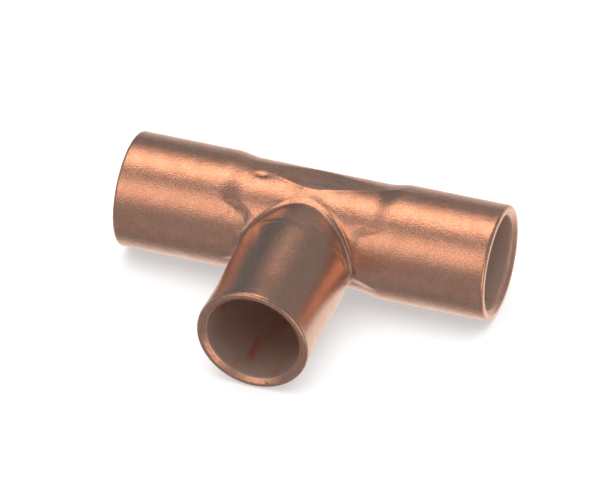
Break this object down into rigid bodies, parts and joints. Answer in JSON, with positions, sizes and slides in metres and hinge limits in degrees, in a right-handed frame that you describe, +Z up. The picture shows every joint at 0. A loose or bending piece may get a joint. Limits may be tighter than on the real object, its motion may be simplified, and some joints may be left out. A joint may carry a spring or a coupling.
{
  "type": "tee fitting",
  "caption": "Copper solder tee that joins a straight tube run and a side branch, with a plain cup for the tube at every end.",
  "frame": {"origin": "on the surface that the fitting lies on, under the middle of its box: halfway along the run, and halfway between the back of the run and the branch's mouth", "axes": "+X along the run, towards the run end on the right as seen from the branch side; -Y along the branch, out of its mouth; +Z up, square to both axes, with the fitting lying flat"},
  "size_m": [0.026, 0.0168, 0.0078],
  "materials": {
    "copper": null
  },
  "bodies": {
    "root": {"tee_body": "copper"}
  },
  "joints": []
}
